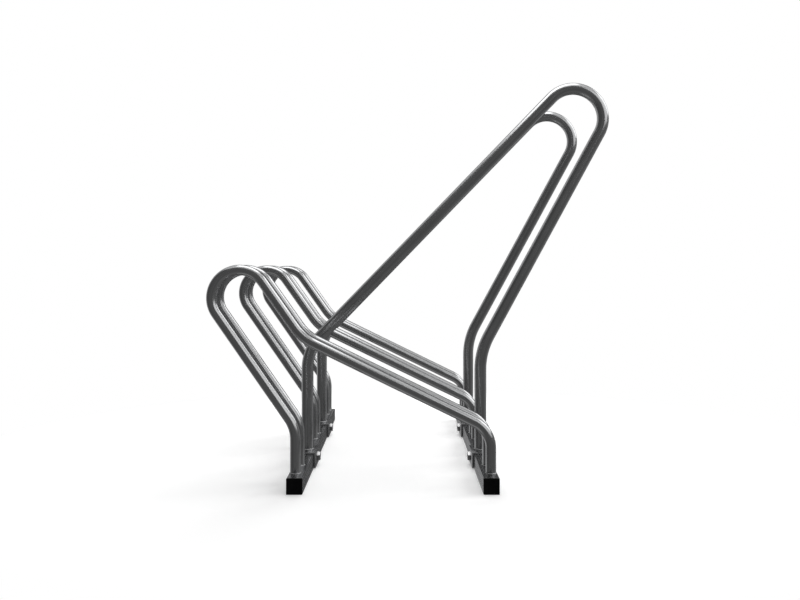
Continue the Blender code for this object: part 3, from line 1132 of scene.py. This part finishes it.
def weld_finish(lines_group):
    """Duller, mottled steel of the weld beads."""
    material, tree, output = new_material("weld_bead")
    place = add_node(tree, "ShaderNodeTexCoord")
    scale = group_node(tree, lines_group, {"Grain": place.outputs["Object"], **WELD_LINES})
    shade = math_node(tree, "MULTIPLY", scale["Lines"], scale["Patches"])
    colour = blend_colour(tree, shade, STEEL_DARK, WELD_LIGHT)
    roughness = blend_value(tree, scale["Lines"], *WELD_ROUGHNESS)
    principled(tree, output, colour, roughness, scale["Lines"], WELD_RELIEF, METAL)
    return material


def zinc_finish(lines_group, dust_group):
    """Zinc plate on the fasteners, slightly clouded."""
    material, tree, output = new_material("zinc_plate")
    place = add_node(tree, "ShaderNodeTexCoord")
    scale = group_node(tree, lines_group, {"Grain": place.outputs["Object"], **ZINC_LINES})
    dust = group_node(tree, dust_group, ZINC_DUST)
    metal = blend_colour(tree, scale["Patches"], ZINC_DARK, ZINC_LIGHT)
    colour = blend_colour(tree, dust["Dust"], metal, DUST_COLOUR)
    roughness = blend_value(tree, scale["Patches"], *ZINC_ROUGHNESS)
    principled(tree, output, colour, roughness, scale["Lines"], ZINC_RELIEF, METAL)
    return material


def plastic_finish(lines_group, dust_group):
    """Black moulded plastic with a fine grain."""
    material, tree, output = new_material("moulded_plastic")
    place = add_node(tree, "ShaderNodeTexCoord")
    mould = group_node(tree, lines_group, {"Grain": place.outputs["Object"], **PLASTIC_LINES})
    dust = group_node(tree, dust_group, PLASTIC_DUST)
    black = blend_colour(tree, mould["Patches"], PLASTIC_DARK, PLASTIC_LIGHT)
    colour = blend_colour(tree, dust["Dust"], black, DUST_COLOUR)
    roughness = blend_value(tree, mould["Patches"], *PLASTIC_ROUGHNESS)
    principled(tree, output, colour, roughness, mould["Lines"], PLASTIC_RELIEF, PLASTIC)
    return material


def seen_directly(tree):
    """1 for the rays that show a surface in the picture, in metal or through glass, and 0 for the rest."""
    path = add_node(tree, "ShaderNodeLightPath")
    metal = math_node(
        tree, "MAXIMUM", path.outputs["Is Glossy Ray"], path.outputs["Is Transmission Ray"]
    )
    return math_node(tree, "MAXIMUM", path.outputs["Is Camera Ray"], metal)


def add_world():
    """A white world to look at, which lights the stand at a plain level."""
    world = bpy.data.worlds.new("white_studio")
    world.use_nodes = True
    tree = world.node_tree
    tree.nodes.clear()
    seen = seen_directly(tree)
    strength = math_node(tree, "MAXIMUM", seen, WORLD_LIGHT)
    white = add_node(tree, "ShaderNodeBackground", {"Color": (1, 1, 1, 1), "Strength": strength})
    output = add_node(tree, "ShaderNodeOutputWorld")
    tree.links.new(white.outputs[0], output.inputs["Surface"])
    bpy.context.scene.world = world


def floor_material():
    """White paper that keeps the stand's shadow and turns into the white world towards its edge."""
    material, tree, output = new_material("white_floor")
    seen = seen_directly(tree)
    paper = add_node(tree, "ShaderNodeBsdfDiffuse", {"Color": (*FLOOR_COLOUR, 1)})
    lift = add_node(
        tree,
        "ShaderNodeEmission",
        {"Color": (1, 1, 1, 1), "Strength": math_node(tree, "MULTIPLY", seen, FLOOR_LIFT)},
    )
    lifted = add_node(tree, "ShaderNodeAddShader", {0: paper.outputs[0], 1: lift.outputs[0]})
    white = add_node(
        tree,
        "ShaderNodeEmission",
        {"Color": (1, 1, 1, 1), "Strength": math_node(tree, "MAXIMUM", seen, WORLD_LIGHT)},
    )
    place = add_node(tree, "ShaderNodeTexCoord")
    reach = vector_math(tree, "LENGTH", place.outputs["Object"])
    fade = stretched(tree, reach, FLOOR_FADE, FLOOR_RADIUS, "SMOOTHSTEP")
    surface = add_node(
        tree, "ShaderNodeMixShader", {0: fade, 1: lifted.outputs[0], 2: white.outputs[0]}
    )
    tree.links.new(surface.outputs[0], output.inputs["Surface"])
    return material


def add_floor():
    """The round white floor under the stand."""
    bm = bmesh.new()
    bmesh.ops.create_circle(bm, cap_ends=True, segments=STAGE_SIDES, radius=FLOOR_RADIUS)
    mesh = mesh_from(bm, "floor")
    mesh.materials.append(floor_material())
    floor = add_object("floor", mesh)
    floor.visible_glossy = False


def heading(azimuth, elevation):
    """The direction at an azimuth, from +Y towards +X, and an elevation, both in radians."""
    level = math.cos(elevation)
    return Vector((math.sin(azimuth) * level, math.cos(azimuth) * level, math.sin(elevation)))


def round_glow(tree, off):
    """The studio's brightness in each direction round the stand, as STUDIO_GLOW says."""
    azimuth = math_node(tree, "ARCTAN2", off.outputs["X"], off.outputs["Y"])
    share = math_node(tree, "MULTIPLY_ADD", azimuth, 0.5 / math.pi, 0.5)
    ramp = add_node(tree, "ShaderNodeValToRGB", {"Fac": share})
    stops = ramp.color_ramp.elements
    while len(stops) < len(STUDIO_GLOW):
        stops.new(0.5)
    for stop, (degrees, brightness) in zip(stops, STUDIO_GLOW.items()):
        stop.position = degrees / 360 + 0.5
        stop.color = (*grey(brightness), 1)
    return ramp.outputs["Color"]


def studio_material():
    """The dark studio's glow, which goes over to STUDIO_UNDER below, with a paler patch on the ground."""
    material, tree, output = new_material("dark_studio")
    place = add_node(tree, "ShaderNodeTexCoord").outputs["Object"]
    off = add_node(tree, "ShaderNodeSeparateXYZ", {"Vector": place})
    fall = math_node(tree, "DIVIDE", off.outputs["Z"], vector_math(tree, "LENGTH", place))
    under = stretched(tree, fall, -STUDIO_UNDER_FROM, -STUDIO_UNDER_TO, "SMOOTHSTEP")
    glow = blend_colour(tree, under, round_glow(tree, off), grey(STUDIO_UNDER))
    outward = vector_math(tree, "NORMALIZE", place)
    likeness = vector_math(tree, "DOT_PRODUCT", outward, heading(PATCH_AZIMUTH, PATCH_ELEVATION))
    patch = stretched(tree, likeness, PATCH_RIM, PATCH_CORE, "SMOOTHSTEP")
    glow = blend_colour(tree, patch, glow, grey(PATCH_GLOW))
    light = add_node(tree, "ShaderNodeEmission", {"Color": glow})
    tree.links.new(light.outputs[0], output.inputs["Surface"])
    return material


def add_wall(bm, start, end, top):
    """A piece of the studio's round wall between two azimuths, from its ground up to a height."""
    steps = math.ceil((end - start) / WALL_STEP)
    edges = []
    for step in range(steps + 1):
        side = STUDIO_RADIUS * heading(start + (end - start) * step / steps, 0)
        foot = bm.verts.new((side.x, side.y, -STUDIO_DEPTH))
        edges.append((foot, bm.verts.new((side.x, side.y, top))))
    for first, second in zip(edges, edges[1:]):
        bm.faces.new((first[0], second[0], second[1], first[1]))


def add_dark_studio():
    """The dark studio: a round ground far below the stand, and a wall all round it."""
    bm = bmesh.new()
    bmesh.ops.create_circle(
        bm,
        cap_ends=True,
        segments=STAGE_SIDES,
        radius=STUDIO_RADIUS,
        matrix=Matrix.Translation((0, 0, -STUDIO_DEPTH)),
    )
    for start, end, top in STUDIO_WALLS:
        add_wall(bm, math.radians(start), math.radians(end), top)
    mesh = mesh_from(bm, "dark_studio")
    mesh.materials.append(studio_material())
    studio = add_object("dark_studio", mesh)
    studio.visible_camera = False
    studio.visible_transmission = False
    studio.visible_volume_scatter = False
    studio.visible_shadow = False


def add_lamp(name, place, facing, sides, brightness):
    """A soft area lamp that shines away from the direction it faces, at an even brightness."""
    data = bpy.data.lights.new(name, "AREA")
    data.shape = "RECTANGLE"
    data.size, data.size_y = sides
    data.energy = brightness * math.pi * data.size * data.size_y
    lamp = add_object(name, data)
    lamp.location = place
    lamp.rotation_euler = facing.to_track_quat("Z", "Y").to_euler()
    lamp.visible_camera = False
    return lamp


def add_softbox(name, azimuth, elevation, width, height, brightness):
    """A lamp of a given size, as the stand sees it."""
    away = heading(math.radians(azimuth), math.radians(elevation))
    sides = [2 * LAMP_DISTANCE * math.tan(math.radians(side / 2)) for side in (width, height)]
    return add_lamp(name, LAMP_TARGET + LAMP_DISTANCE * away, away, sides, brightness)


def add_camera():
    """The photograph's camera: level, looking along the rails, with its frame shifted down."""
    data = bpy.data.cameras.new("camera")
    data.lens = CAMERA_LENS
    data.shift_x, data.shift_y = CAMERA_SHIFT
    camera = add_object("camera", data)
    camera.location = (CAMERA_X, cad_low.y - CAMERA_BACK, CAMERA_HEIGHT)
    camera.rotation_euler = (math.pi / 2, 0, 0)
    bpy.context.scene.camera = camera


bpy.context.scene.view_settings.view_transform = "Standard"
add_camera()
add_world()
add_floor()
add_dark_studio()
add_lamp(
    "ceiling", (0, 0, CEILING_HEIGHT), Vector((0, 0, 1)), CEILING_SIDES, CEILING_BRIGHTNESS
)
for name, settings in SOFTBOXES.items():
    add_softbox(name, *settings)
add_softbox("behind", *BACK_LAMP).visible_glossy = False
lines = drawn_lines_group()
dust = settled_dust_group()
steel = steel_finish("drawn_steel", lines, dust, TUBE_ROUGHNESS)
rail_steel = steel_finish("rail_steel", lines, dust, RAIL_ROUGHNESS)
zinc = zinc_finish(lines, dust)
plastic = plastic_finish(lines, dust)
weld = weld_finish(lines)
repeated = repeated_tree()
add_hoops(steel)
add_rail("left", rail_steel)
add_rail("right", rail_steel)
add_plugs(repeated, plastic)
add_brackets(repeated, rail_steel)
add_fasteners(repeated, zinc)
add_welds(weld)
